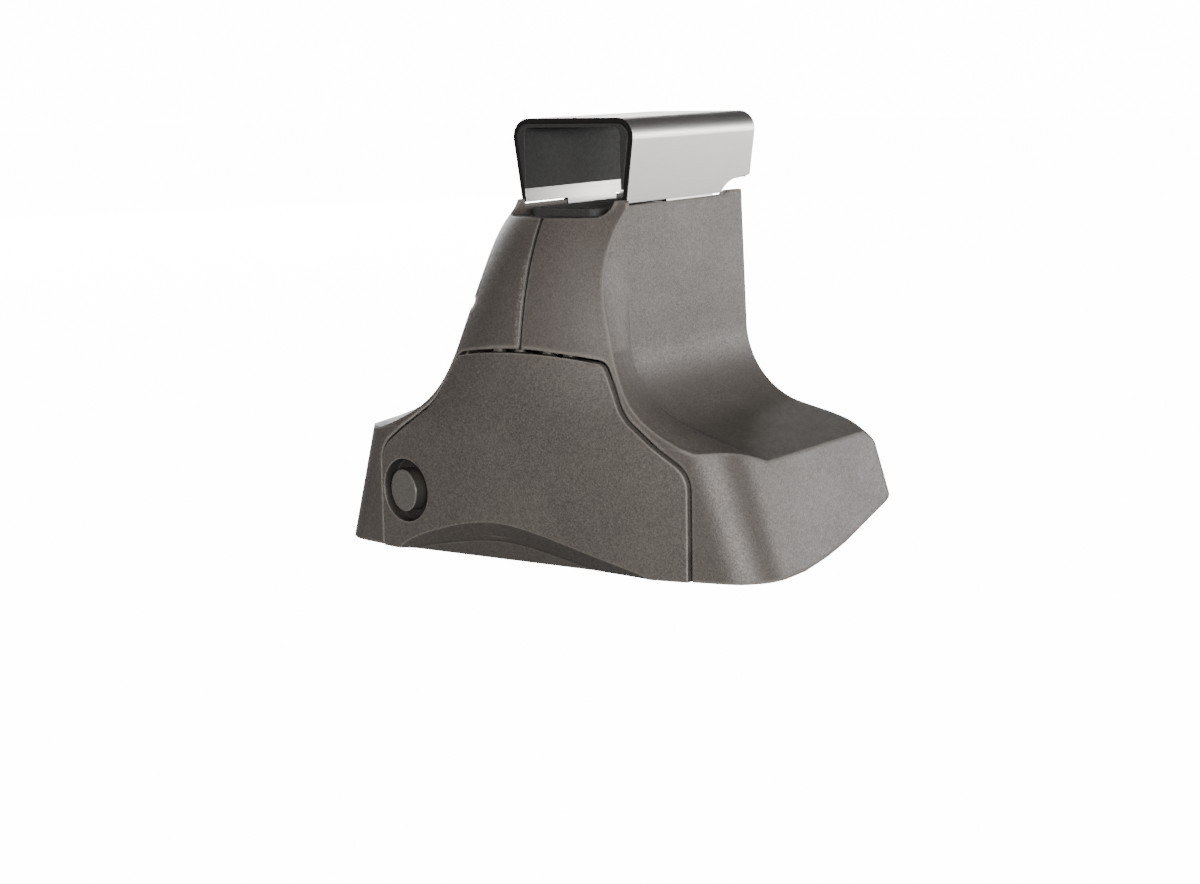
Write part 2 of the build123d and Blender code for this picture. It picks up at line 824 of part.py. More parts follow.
# Front cover
lock_a = radians(lock_turn)
lock_plane = Plane(
    origin=(lock_x, lock_y, lock_z), x_dir=(cos(lock_a), -sin(lock_a), 0), z_dir=(-sin(lock_a), -cos(lock_a), 0)
)
with BuildPart() as cover_core:
    add(cover_outer)
    add(cover_inner, mode=Mode.SUBTRACT)
with BuildPart() as cover_prism:
    extrude(cover_sketch(Plane.XZ.offset(55.0), 0.0), amount=40)
with BuildPart() as cover_extras:
    # thicker lip under the finger recess and the cup around the lock
    with BuildSketch(Plane.YZ.offset(-46)):
        with BuildLine():
            Polyline((-66, -112), (-66, -97.5), (-59.8, -97.5), (-59.8, -100.4), (-55.5, -100.4), (-55.5, -112), (-66, -112))
        make_face()
    extrude(amount=94)
    with BuildSketch(lock_plane.offset(2)):
        Circle(lock_recess_r + 1.3)
    extrude(amount=-12)
    # ears around the hinge pins
    for side in (-1, 1):
        with BuildSketch(Plane.YZ.offset(side * hinge_x)):
            with Locations((hinge_y + 0.1, hinge_z)):
                Rectangle(5.0, 4.2)
        extrude(amount=2.0, both=True)
    add(cover_outer, mode=Mode.INTERSECT)
with BuildPart() as front_cover:
    add(cover_core.part)
    add(cover_extras.part)
    add(cover_prism.part, mode=Mode.INTERSECT)
    # finger recess along the lower edge: an arch that slopes inward as it goes down
    with BuildSketch(Plane.XZ.offset(75)):
        with BuildLine():
            Spline(*recess_arch)
            Polyline(recess_arch[-1], (recess_arch[-1][0], -125), (recess_arch[0][0], -125), recess_arch[0])
        make_face()
    extrude(amount=26, dir=(0, 0.640, -0.768), mode=Mode.SUBTRACT)
    # lock recess and bore
    with BuildSketch(lock_plane.offset(3)):
        Circle(lock_recess_r)
    extrude(amount=-7.0, mode=Mode.SUBTRACT)
    with BuildSketch(lock_plane.offset(3)):
        Circle(lock_r + run_fit)
    extrude(amount=-20, mode=Mode.SUBTRACT)
    # hinge pin bores and the pockets for the housing's seats
    for side in (-1, 1):
        with BuildSketch(Plane.YZ.offset(side * hinge_x)):
            with Locations((hinge_y, hinge_z)):
                Circle(hinge_pin_r + run_fit)
        extrude(amount=5.2, both=True, mode=Mode.SUBTRACT)
    for side in (-1, 1):
        for seat_x in seat_spots:
            with BuildSketch(Plane.YZ.offset(side * seat_x)):
                with Locations((hinge_y + 5.0, hinge_z + 4.6)):
                    Rectangle(12.2, 14.8)
            extrude(amount=1.6, both=True, mode=Mode.SUBTRACT)
finish(front_cover, "front_cover")

with BuildPart() as hinge_pins:
    for side in (-1, 1):
        with BuildSketch(Plane.YZ.offset(side * hinge_x)):
            with Locations((hinge_y, hinge_z)):
                Circle(hinge_pin_r)
        extrude(amount=4.9, both=True)
finish(hinge_pins, "hinge_pins")

# Lock plug with its tongue behind the cover
with BuildPart() as lock_plug:
    with BuildSketch(lock_plane.offset(-0.1)):
        Circle(lock_r)
    extrude(amount=-13.0)
    fillet(lock_plug.edges().filter_by(GeomType.CIRCLE).group_by(Axis.Y)[0], radius=0.5)
finish(lock_plug, "lock_plug")

with BuildPart() as lock_tongue:
    with BuildSketch(lock_plane.offset(-13.1)):
        Circle(5.6)
        with Locations((0, 8.1)):
            RectangleRounded(7.6, 16.2, 2.0)
    extrude(amount=-2.0)
finish(lock_tongue, "lock_tongue")

with BuildPart() as tongue_screw:
    with BuildSketch(lock_plane.offset(-15.1)):
        Circle(3.4)
    extrude(amount=-2.2)
finish(tongue_screw, "tongue_screw")
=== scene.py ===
import bpy
from mathutils import Matrix, Vector


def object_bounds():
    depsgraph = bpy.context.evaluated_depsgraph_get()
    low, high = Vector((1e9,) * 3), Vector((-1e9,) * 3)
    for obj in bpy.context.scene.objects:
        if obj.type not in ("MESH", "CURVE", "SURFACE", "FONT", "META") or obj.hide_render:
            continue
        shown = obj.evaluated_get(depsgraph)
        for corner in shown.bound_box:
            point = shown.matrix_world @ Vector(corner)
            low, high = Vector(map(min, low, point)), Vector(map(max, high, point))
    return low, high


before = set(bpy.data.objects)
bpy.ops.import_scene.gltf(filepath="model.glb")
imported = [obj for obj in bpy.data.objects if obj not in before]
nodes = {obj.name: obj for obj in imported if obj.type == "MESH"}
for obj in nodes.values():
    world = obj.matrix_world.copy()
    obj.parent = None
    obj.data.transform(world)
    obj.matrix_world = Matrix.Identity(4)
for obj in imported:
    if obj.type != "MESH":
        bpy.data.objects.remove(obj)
cad_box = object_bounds()

# Millimetres in, metres out
MM = 0.001


def add_node(tree, kind, x, y, **settings):
    """A node at its place in the editor, with its settings."""
    node = tree.nodes.new(kind)
    node.location = (x, y)
    for key, value in settings.items():
        setattr(node, key, value)
    return node


def new_group(name, inputs, outputs):
    """A shader node group with its named sockets, and its input and output nodes."""
    tree = bpy.data.node_groups.new(name, "ShaderNodeTree")
    for label, kind, value in inputs:
        socket = tree.interface.new_socket(label, in_out="INPUT", socket_type=kind)
        socket.default_value = value
    for label, kind in outputs:
        tree.interface.new_socket(label, in_out="OUTPUT", socket_type=kind)
    entry = add_node(tree, "NodeGroupInput", -900, 0)
    leave = add_node(tree, "NodeGroupOutput", 700, 0)
    return tree, entry, leave


def place_group(tree, group, x, y, **values):
    """A group placed in a material; an underscore in a value's name stands for a space."""
    node = add_node(tree, "ShaderNodeGroup", x, y, node_tree=group)
    for label, value in values.items():
        node.inputs[label.replace("_", " ")].default_value = value
    return node


def from_range(tree, low, high, x, y, **settings):
    """Node whose result goes from 0 to 1 as its value goes from low to high."""
    node = add_node(tree, "ShaderNodeMapRange", x, y, **settings)
    node.inputs["From Min"].default_value = low
    node.inputs["From Max"].default_value = high
    return node


def give_mask(tree, entry, leave, value):
    """Puts out value times the group's Amount as its Mask."""
    amount = add_node(tree, "ShaderNodeMath", 450, 0, operation="MULTIPLY")
    tree.links.new(value, amount.inputs[0])
    tree.links.new(entry.outputs["Amount"], amount.inputs[1])
    tree.links.new(amount.outputs[0], leave.inputs["Mask"])


def mask_group(name, amount, extra=()):
    """A group that puts out one mask, scaled by its Amount, with its nodes still to be made."""
    inputs = [*extra, ("Amount", "NodeSocketFloat", amount)]
    return new_group(name, inputs, [("Mask", "NodeSocketFloat")])


def moulded_grain_group():
    """Spark-eroded grain: facets that each catch the light a little differently, and a slow cloud."""
    tree, entry, leave = new_group(
        "Moulded grain",
        [
            ("Size mm", "NodeSocketFloat", 0.4),
            ("Unevenness", "NodeSocketFloat", 0.3),
            ("Sparkle", "NodeSocketFloat", 0.5),
        ],
        [("Height", "NodeSocketFloat"), ("Shade", "NodeSocketFloat"), ("Glint", "NodeSocketFloat")],
    )
    place = add_node(tree, "ShaderNodeTexCoord", -900, -250)
    per_metre = add_node(tree, "ShaderNodeMath", -700, 60, operation="DIVIDE")
    per_metre.inputs[0].default_value = 1.0 / MM
    facets = add_node(tree, "ShaderNodeTexVoronoi", -450, 220)
    tone = add_node(tree, "ShaderNodeSeparateXYZ", -250, 300)
    stipple = add_node(tree, "ShaderNodeTexNoise", -450, -120)
    stipple.inputs["Detail"].default_value = 3.0
    stipple.inputs["Roughness"].default_value = 0.7
    slow = add_node(tree, "ShaderNodeTexNoise", -450, -380)
    slow.inputs["Scale"].default_value = 38.0
    slow.inputs["Detail"].default_value = 2.0
    both = add_node(tree, "ShaderNodeMath", -180, 60, operation="MULTIPLY_ADD")
    both.inputs[1].default_value = 0.5
    fine = add_node(tree, "ShaderNodeMix", -20, 160)
    fine.inputs[0].default_value = 0.45
    blend = add_node(tree, "ShaderNodeMix", 140, -120)
    spread = from_range(tree, 0.25, 0.75, 350, -120)
    bright = from_range(tree, 0.86, 0.97, 150, 300)
    glint = add_node(tree, "ShaderNodeMath", 350, 250, operation="MULTIPLY")
    link = tree.links.new
    link(entry.outputs["Size mm"], per_metre.inputs[1])
    for texture in (facets, stipple):
        link(place.outputs["Object"], texture.inputs["Vector"])
        link(per_metre.outputs[0], texture.inputs["Scale"])
    link(place.outputs["Object"], slow.inputs["Vector"])
    link(facets.outputs["Color"], tone.inputs[0])
    link(facets.outputs["Distance"], both.inputs[0])
    link(stipple.outputs["Fac"], both.inputs[2])
    link(tone.outputs["X"], fine.inputs[2])
    link(stipple.outputs["Fac"], fine.inputs[3])
    link(entry.outputs["Unevenness"], blend.inputs[0])
    link(fine.outputs[0], blend.inputs[2])
    link(slow.outputs["Fac"], blend.inputs[3])
    link(blend.outputs[0], spread.inputs["Value"])
    link(tone.outputs["Y"], bright.inputs["Value"])
    link(bright.outputs["Result"], glint.inputs[0])
    link(entry.outputs["Sparkle"], glint.inputs[1])
    link(both.outputs[0], leave.inputs["Height"])
    link(spread.outputs["Result"], leave.inputs["Shade"])
    link(glint.outputs[0], leave.inputs["Glint"])
    return tree


# Patch of specks at the seam's front: axis, from, to and soft border in mm, and the node's height
SEAM_PATCH = (
    ("X", -1.9, 0.6, 0.7, 200),
    ("Z", -47.0, -25.0, 1.5, -40),
    ("Y", -64.0, -48.0, 1.0, -280),
)


def seam_scuff_group():
    """Pale specks beside the joint line of the two housing halves, and the dark line itself."""
    tree, entry, leave = new_group(
        "Seam scuff",
        [("Amount", "NodeSocketFloat", 0.6)],
        [("Mask", "NodeSocketFloat"), ("Line", "NodeSocketFloat")],
    )
    place = add_node(tree, "ShaderNodeTexCoord", -900, 0)
    split = add_node(tree, "ShaderNodeSeparateXYZ", -720, 120)
    link = tree.links.new
    link(place.outputs["Object"], split.inputs[0])
    bands = []
    for axis, low, high, soft, y in SEAM_PATCH:
        rise = from_range(tree, (low - soft) * MM, low * MM, -520, y)
        fall = from_range(tree, (high + soft) * MM, high * MM, -520, y - 110)
        inside = add_node(tree, "ShaderNodeMath", -320, y, operation="MULTIPLY")
        link(split.outputs[axis], rise.inputs["Value"])
        link(split.outputs[axis], fall.inputs["Value"])
        link(rise.outputs["Result"], inside.inputs[0])
        link(fall.outputs["Result"], inside.inputs[1])
        bands.append(inside.outputs[0])
    off_seam = add_node(tree, "ShaderNodeMath", -520, 420, operation="ABSOLUTE")
    line = from_range(tree, 0.62 * MM, 0.34 * MM, -320, 420)
    link(split.outputs["X"], off_seam.inputs[0])
    link(off_seam.outputs[0], line.inputs["Value"])
    link(line.outputs["Result"], leave.inputs["Line"])
    specks = add_node(tree, "ShaderNodeTexNoise", -520, -520)
    specks.inputs["Scale"].default_value = 2300.0
    specks.inputs["Detail"].default_value = 1.0
    link(place.outputs["Object"], specks.inputs["Vector"])
    sharp = from_range(tree, 0.50, 0.66, -320, -520)
    link(specks.outputs["Fac"], sharp.inputs["Value"])
    total = sharp.outputs["Result"]
    for step, band in enumerate([*bands, entry.outputs["Amount"]]):
        product = add_node(tree, "ShaderNodeMath", -100 + 160 * step, -100, operation="MULTIPLY")
        link(total, product.inputs[0])
        link(band, product.inputs[1])
        total = product.outputs[0]
    link(total, leave.inputs["Mask"])
    return tree


def rounded_edge_group():
    """Small radius on every moulded or pressed edge, and a mask of where it is."""
    tree, entry, leave = new_group(
        "Rounded edge",
        [("Radius mm", "NodeSocketFloat", 0.5)],
        [("Normal", "NodeSocketVector"), ("Mask", "NodeSocketFloat")],
    )
    metres = add_node(tree, "ShaderNodeMath", -650, 0, operation="MULTIPLY")
    metres.inputs[1].default_value = MM
    bevel = add_node(tree, "ShaderNodeBevel", -400, 0, samples=6)
    flat = add_node(tree, "ShaderNodeNewGeometry", -400, -250)
    match = add_node(tree, "ShaderNodeVectorMath", -150, -150, operation="DOT_PRODUCT")
    turn = from_range(tree, 0.995, 0.88, 120, -150)
    link = tree.links.new
    link(entry.outputs["Radius mm"], metres.inputs[0])
    link(metres.outputs[0], bevel.inputs["Radius"])
    link(bevel.outputs[0], match.inputs[0])
    link(flat.outputs["Normal"], match.inputs[1])
    link(match.outputs["Value"], turn.inputs["Value"])
    link(bevel.outputs[0], leave.inputs["Normal"])
    link(turn.outputs["Result"], leave.inputs["Mask"])
    return tree


def dust_group():
    """Pale dust that settles in clouds on faces that look up."""
    tree, entry, leave = mask_group("Settled dust", 0.15)
    geometry = add_node(tree, "ShaderNodeNewGeometry", -700, 0)
    split = add_node(tree, "ShaderNodeSeparateXYZ", -500, 0)
    upward = from_range(tree, 0.1, 1.0, -300, 0)
    place = add_node(tree, "ShaderNodeTexCoord", -700, -250)
    clouds = add_node(tree, "ShaderNodeTexNoise", -300, -280)
    clouds.inputs["Scale"].default_value = 120.0
    clouds.inputs["Detail"].default_value = 5.0
    patch = add_node(tree, "ShaderNodeMath", -50, -100, operation="MULTIPLY")
    link = tree.links.new
    link(geometry.outputs["Normal"], split.inputs[0])
    link(split.outputs["Z"], upward.inputs["Value"])
    link(place.outputs["Object"], clouds.inputs["Vector"])
    link(upward.outputs["Result"], patch.inputs[0])
    link(clouds.outputs["Fac"], patch.inputs[1])
    give_mask(tree, entry, leave, patch.outputs[0])
    return tree


def drawn_lines_group():
    """Rolling lines of sheet steel along one axis, as height and as shade."""
    tree, entry, leave = new_group(
        "Rolling lines",
        [("Stretch", "NodeSocketVector", (2600.0, 40.0, 2600.0))],
        [("Height", "NodeSocketFloat"), ("Shade", "NodeSocketFloat")],
    )
    place = add_node(tree, "ShaderNodeTexCoord", -700, 0)
    scale = add_node(tree, "ShaderNodeVectorMath", -480, 0, operation="MULTIPLY")
    lines = add_node(tree, "ShaderNodeTexNoise", -250, 0)
    lines.inputs["Scale"].default_value = 1.0
    lines.inputs["Detail"].default_value = 4.0
    lines.inputs["Roughness"].default_value = 0.6
    slow = add_node(tree, "ShaderNodeTexNoise", -250, -260)
    slow.inputs["Scale"].default_value = 60.0
    slow.inputs["Detail"].default_value = 3.0
    mixed = add_node(tree, "ShaderNodeMix", 50, -120)
    mixed.inputs[0].default_value = 0.45
    link = tree.links.new
    link(place.outputs["Object"], scale.inputs[0])
    link(entry.outputs["Stretch"], scale.inputs[1])
    link(scale.outputs[0], lines.inputs["Vector"])
    link(place.outputs["Object"], slow.inputs["Vector"])
    link(lines.outputs["Fac"], mixed.inputs[2])
    link(slow.outputs["Fac"], mixed.inputs[3])
    link(lines.outputs["Fac"], leave.inputs["Height"])
    link(mixed.outputs[0], leave.inputs["Shade"])
    return tree


def downward_shade_group():
    """Stand-in for the shade on faces that look down: 1 there, 0 from upright upwards."""
    tree, entry, leave = mask_group("Downward shade", 0.4)
    geometry = add_node(tree, "ShaderNodeNewGeometry", -700, 0)
    split = add_node(tree, "ShaderNodeSeparateXYZ", -500, 0)
    downward = from_range(tree, 0.02, -0.55, -300, 0, interpolation_type="SMOOTHSTEP")
    link = tree.links.new
    link(geometry.outputs["Normal"], split.inputs[0])
    link(split.outputs["Z"], downward.inputs["Value"])
    give_mask(tree, entry, leave, downward.outputs["Result"])
    return tree


# Where the lock sits, and the way it faces
LOCK_PLACE = (-0.042, -0.0615, -0.090)
LOCK_AXIS = (-0.27564, -0.96126, 0.0)


def lock_ring_group():
    """Stand-in for the deep shade around the lock: faces between two radii about its axis."""
    radii = [("Inner mm", "NodeSocketFloat", 0.0), ("Outer mm", "NodeSocketFloat", 9.1)]
    tree, entry, leave = mask_group("Lock ring shade", 0.8, radii)
    place = add_node(tree, "ShaderNodeTexCoord", -1100, 0)
    from_lock = add_node(tree, "ShaderNodeVectorMath", -900, 0, operation="SUBTRACT")
    from_lock.inputs[1].default_value = LOCK_PLACE
    across = add_node(tree, "ShaderNodeVectorMath", -700, 0, operation="CROSS_PRODUCT")
    across.inputs[1].default_value = LOCK_AXIS
    radius = add_node(tree, "ShaderNodeVectorMath", -500, 0, operation="LENGTH")
    in_mm = add_node(tree, "ShaderNodeMath", -320, 0, operation="DIVIDE")
    in_mm.inputs[1].default_value = MM
    beyond = add_node(tree, "ShaderNodeMath", -140, 100, operation="GREATER_THAN")
    within = add_node(tree, "ShaderNodeMath", -140, -100, operation="LESS_THAN")
    both = add_node(tree, "ShaderNodeMath", 60, 0, operation="MULTIPLY")
    link = tree.links.new
    link(place.outputs["Object"], from_lock.inputs[0])
    link(from_lock.outputs[0], across.inputs[0])
    link(across.outputs[0], radius.inputs[0])
    link(radius.outputs["Value"], in_mm.inputs[0])
    for side, bound in ((beyond, "Inner mm"), (within, "Outer mm")):
        link(in_mm.outputs[0], side.inputs[0])
        link(entry.outputs[bound], side.inputs[1])
    link(beyond.outputs[0], both.inputs[0])
    link(within.outputs[0], both.inputs[1])
    give_mask(tree, entry, leave, both.outputs[0])
    return tree


# Middle of the knuckles that show in the gap above the cover, and how the mask is drawn out along X
KNUCKLES = (0.0, -0.0572, -0.0512)
KNUCKLE_SQUEEZE = (0.13, 1.0, 1.0)


def hinge_shade_group():
    """Stand-in for the deep shade in the gap above the cover, where the hinge knuckles show."""
    tree, entry, leave = mask_group("Hinge line shade", 0.9)
    place = add_node(tree, "ShaderNodeTexCoord", -900, 0)
    from_hinge = add_node(tree, "ShaderNodeVectorMath", -700, 0, operation="SUBTRACT")
    from_hinge.inputs[1].default_value = KNUCKLES
    squeezed = add_node(tree, "ShaderNodeVectorMath", -520, 0, operation="MULTIPLY")
    squeezed.inputs[1].default_value = KNUCKLE_SQUEEZE
    radius = add_node(tree, "ShaderNodeVectorMath", -340, 0, operation="LENGTH")
    near = from_range(tree, 3.0 * MM, 2.7 * MM, -160, 0)
    link = tree.links.new
    link(place.outputs["Object"], from_hinge.inputs[0])
    link(from_hinge.outputs[0], squeezed.inputs[0])
    link(squeezed.outputs[0], radius.inputs[0])
    link(radius.outputs["Value"], near.inputs["Value"])
    give_mask(tree, entry, leave, near.outputs["Result"])
    return tree


def recess_shade_group():
    """Stand-in for the shade on the set-back face under the cover's arch."""
    tree, entry, leave = mask_group("Recess shade", 0.4)
    place = add_node(tree, "ShaderNodeTexCoord", -900, 0)
    split = add_node(tree, "ShaderNodeSeparateXYZ", -700, 0)
    set_back = from_range(tree, -59.2 * MM, -58.5 * MM, -450, 120)
    low_down = from_range(tree, -98.0 * MM, -100.0 * MM, -450, -160)
    both = add_node(tree, "ShaderNodeMath", -150, 0, operation="MULTIPLY")
    link = tree.links.new
    link(place.outputs["Object"], split.inputs[0])
    link(split.outputs["Y"], set_back.inputs["Value"])
    link(split.outputs["Z"], low_down.inputs["Value"])
    link(set_back.outputs["Result"], both.inputs[0])
    link(low_down.outputs["Result"], both.inputs[1])
    give_mask(tree, entry, leave, both.outputs[0])
    return tree


def cut_edge_group():
    """Mask of a sheet's sheared edges, which face along the bar."""
    tree, entry, leave = mask_group("Cut edge", 1.0)
    facing = add_node(tree, "ShaderNodeNewGeometry", -700, 0)
    split = add_node(tree, "ShaderNodeSeparateXYZ", -520, 0)
    size = add_node(tree, "ShaderNodeMath", -340, 0, operation="ABSOLUTE")
    edge = from_range(tree, 0.80, 0.96, -160, 0)
    link = tree.links.new
    link(facing.outputs["True Normal"], split.inputs[0])
    link(split.outputs["Y"], size.inputs[0])
    link(size.outputs[0], edge.inputs["Value"])
    give_mask(tree, entry, leave, edge.outputs["Result"])
    return tree


# Colours that more than one finish uses
SHADE_COLOUR = (0.012, 0.011, 0.010)
DUST_COLOUR = (0.42, 0.39, 0.36)
CUT_EDGE_COLOUR = (0.020, 0.019, 0.018)
BARE_STEEL_COLOUR = (0.9, 0.89, 0.88)

MOULDED_GRAIN = moulded_grain_group()
SEAM_SCUFF = seam_scuff_group()
ROUNDED_EDGE = rounded_edge_group()
SETTLED_DUST = dust_group()
ROLLING_LINES = drawn_lines_group()
CUT_EDGE = cut_edge_group()
DOWNWARD_SHADE = downward_shade_group()
LOCK_RING_SHADE = lock_ring_group()
RECESS_SHADE = recess_shade_group()
HINGE_SHADE = hinge_shade_group()


def start_material(name):
    """A new material with its shader and output, and nothing else."""
    material = bpy.data.materials.new(name)
    material.use_nodes = True
    tree = material.node_tree
    tree.nodes.clear()
    shader = add_node(tree, "ShaderNodeBsdfPrincipled", 500, 0)
    output = add_node(tree, "ShaderNodeOutputMaterial", 820, 0)
    tree.links.new(shader.outputs[0], output.inputs["Surface"])
    return material, tree, shader


def colour_mix(tree, factor, low, high, x, y):
    """Colour that goes from low to high as factor goes from 0 to 1."""
    mix = add_node(tree, "ShaderNodeMix", x, y, data_type="RGBA")
    tree.links.new(factor, mix.inputs["Factor"])
    for value, socket in ((low, mix.inputs[6]), (high, mix.inputs[7])):
        if isinstance(value, tuple):
            socket.default_value = (*value, 1.0)
        else:
            tree.links.new(value, socket)
    return mix.outputs[2]


def number_range(tree, value, low, high, x, y):
    """Number that goes from low to high as the value goes from 0 to 1."""
    spread = add_node(tree, "ShaderNodeMapRange", x, y)
    spread.inputs["To Min"].default_value = low
    spread.inputs["To Max"].default_value = high
    tree.links.new(value, spread.inputs["Value"])
    return spread.outputs["Result"]


def moulded_plastic(
    name, deep, pale, edge, grain_mm, depth_mm, rough, round_mm, dust, sparkle, scuff=0.0, shades=()
):
    """Grained moulding: uneven facets, a few that glint, paler worn edges, a little dust.

    Each of the shades is a mask group with its values, painted over the rest in turn.
    """
    material, tree, shader = start_material(name)
    link = tree.links.new
    grain = place_group(tree, MOULDED_GRAIN, -900, 100, Size_mm=grain_mm, Unevenness=0.3, Sparkle=sparkle)
    edges = place_group(tree, ROUNDED_EDGE, -900, -150, Radius_mm=round_mm)
    settled = place_group(tree, SETTLED_DUST, -900, -350, Amount=dust)
    body = colour_mix(tree, grain.outputs["Shade"], deep, pale, -620, 250)
    body = colour_mix(tree, grain.outputs["Glint"], body, edge, -440, 300)
    if scuff:
        scuffed = place_group(tree, SEAM_SCUFF, -900, 350, Amount=scuff)
        body = colour_mix(tree, scuffed.outputs["Mask"], body, edge, -260, 350)
    wear = number_range(tree, edges.outputs["Mask"], 0.0, 0.8, -420, -60)
    body = colour_mix(tree, wear, body, edge, -80, 200)
    body = colour_mix(tree, settled.outputs["Mask"], body, DUST_COLOUR, 100, 200)
    if scuff:
        body = colour_mix(tree, scuffed.outputs["Line"], body, SHADE_COLOUR, 190, 230)
    for step, (group, values) in enumerate(shades):
        shade = place_group(tree, group, 100 + 160 * step, 520, **values)
        body = colour_mix(tree, shade.outputs["Mask"], body, SHADE_COLOUR, 260 + 160 * step, 320)
    link(body, shader.inputs["Base Color"])
    roughness = number_range(tree, grain.outputs["Shade"], rough + 0.08, rough - 0.08, 100, -20)
    link(roughness, shader.inputs["Roughness"])
    bump = add_node(tree, "ShaderNodeBump", 280, -250)
    bump.inputs["Strength"].default_value = 0.6
    bump.inputs["Distance"].default_value = depth_mm * MM
    link(grain.outputs["Height"], bump.inputs["Height"])
    link(edges.outputs["Normal"], bump.inputs["Normal"])
    link(bump.outputs[0], shader.inputs["Normal"])
    shader.inputs["Specular IOR Level"].default_value = 0.45
    return material


def plated_steel(name, low, high, stretch, rough, round_mm, dark_cut=0.0):
    """Rolled or ground steel with fine lines and a satin, slightly uneven shine."""
    material, tree, shader = start_material(name)
    link = tree.links.new
    lines = place_group(tree, ROLLING_LINES, -700, 100, Stretch=stretch)
    edges = place_group(tree, ROUNDED_EDGE, -700, -150, Radius_mm=round_mm)
    wear = number_range(tree, edges.outputs["Mask"], 0.0, 0.4, -300, -60)
    body = colour_mix(tree, lines.outputs["Shade"], low, high, -300, 200)
    body = colour_mix(tree, wear, body, BARE_STEEL_COLOUR, 0, 200)
    if dark_cut:
        cut = place_group(tree, CUT_EDGE, -300, 420, Amount=dark_cut)
        body = colour_mix(tree, cut.outputs["Mask"], body, CUT_EDGE_COLOUR, 250, 300)
    link(body, shader.inputs["Base Color"])
    roughness = number_range(tree, lines.outputs["Shade"], rough + 0.08, rough - 0.07, 0, -20)
    link(roughness, shader.inputs["Roughness"])
    bump = add_node(tree, "ShaderNodeBump", 250, -250)
    bump.inputs["Strength"].default_value = 0.25
    bump.inputs["Distance"].default_value = 0.05 * MM
    link(lines.outputs["Height"], bump.inputs["Height"])
    link(edges.outputs["Normal"], bump.inputs["Normal"])
    link(bump.outputs[0], shader.inputs["Normal"])
    shader.inputs["Metallic"].default_value = 1.0
    return material


HOUSING_PLASTIC = moulded_plastic(
    "housing grained plastic", (0.036, 0.031, 0.028), (0.068, 0.060, 0.055), (0.20, 0.185, 0.17),
    grain_mm=0.34, depth_mm=0.07, rough=0.50, round_mm=1.7, dust=0.08, sparkle=0.08, scuff=0.55,
    shades=((DOWNWARD_SHADE, {"Amount": 0.66}), (HINGE_SHADE, {"Amount": 0.93})),
)
COVER_PLASTIC = moulded_plastic(
    "cover coarse grained plastic", (0.034, 0.030, 0.027), (0.080, 0.071, 0.065), (0.20, 0.185, 0.17),
    grain_mm=0.36, depth_mm=0.10, rough=0.50, round_mm=0.9, dust=0.08, sparkle=0.12,
    shades=(
        (DOWNWARD_SHADE, {"Amount": 0.36}),
        (LOCK_RING_SHADE, {"Inner_mm": 0.0, "Outer_mm": 9.05, "Amount": 0.85}),
        (HINGE_SHADE, {"Amount": 0.93}),
        (RECESS_SHADE, {"Amount": 0.45}),
    ),
)
PAD_RUBBER = moulded_plastic(
    "cradle pad rubber", (0.010, 0.010, 0.010), (0.022, 0.021, 0.020), (0.05, 0.05, 0.05),
    grain_mm=0.3, depth_mm=0.05, rough=0.75, round_mm=0.4, dust=0.1, sparkle=0.1,
)
LINER_RUBBER = moulded_plastic(
    "strap liner rubber", (0.006, 0.006, 0.006), (0.014, 0.014, 0.014), (0.03, 0.03, 0.03),
    grain_mm=0.3, depth_mm=0.05, rough=0.7, round_mm=0.3, dust=0.05, sparkle=0.1,
)
LOCK_PAINT = moulded_plastic(
    "lock painted casting", (0.060, 0.055, 0.051), (0.090, 0.083, 0.077), (0.30, 0.285, 0.27),
    grain_mm=0.3, depth_mm=0.04, rough=0.36, round_mm=0.5, dust=0.05, sparkle=0.15,
    shades=((LOCK_RING_SHADE, {"Inner_mm": 6.04, "Outer_mm": 9.0, "Amount": 0.85}),),
)
# The stretch draws the lines out along Y on the strap, and along X on the pins
STRAP_STEEL = plated_steel(
    "strap satin steel", (0.52, 0.50, 0.49), (0.66, 0.645, 0.635),
    stretch=(2600.0, 40.0, 2600.0), rough=0.42, round_mm=0.35, dark_cut=0.96,
)
ZINC_STEEL = plated_steel(
    "zinc plated pressing", (0.42, 0.42, 0.43), (0.60, 0.60, 0.61),
    stretch=(500.0, 500.0, 700.0), rough=0.36, round_mm=0.4,
)
BOLT_STEEL = plated_steel(
    "zinc plated fastener", (0.40, 0.40, 0.42), (0.62, 0.62, 0.63),
    stretch=(900.0, 300.0, 900.0), rough=0.30, round_mm=0.3,
)
PIN_STEEL = plated_steel(
    "ground pin steel", (0.50, 0.50, 0.50), (0.68, 0.68, 0.68),
    stretch=(60.0, 3000.0, 3000.0), rough=0.28, round_mm=0.3,
)
CLIP_STEEL = plated_steel(
    "blackened spring steel", (0.05, 0.05, 0.055), (0.10, 0.10, 0.105),
    stretch=(900.0, 900.0, 900.0), rough=0.40, round_mm=0.2,
)

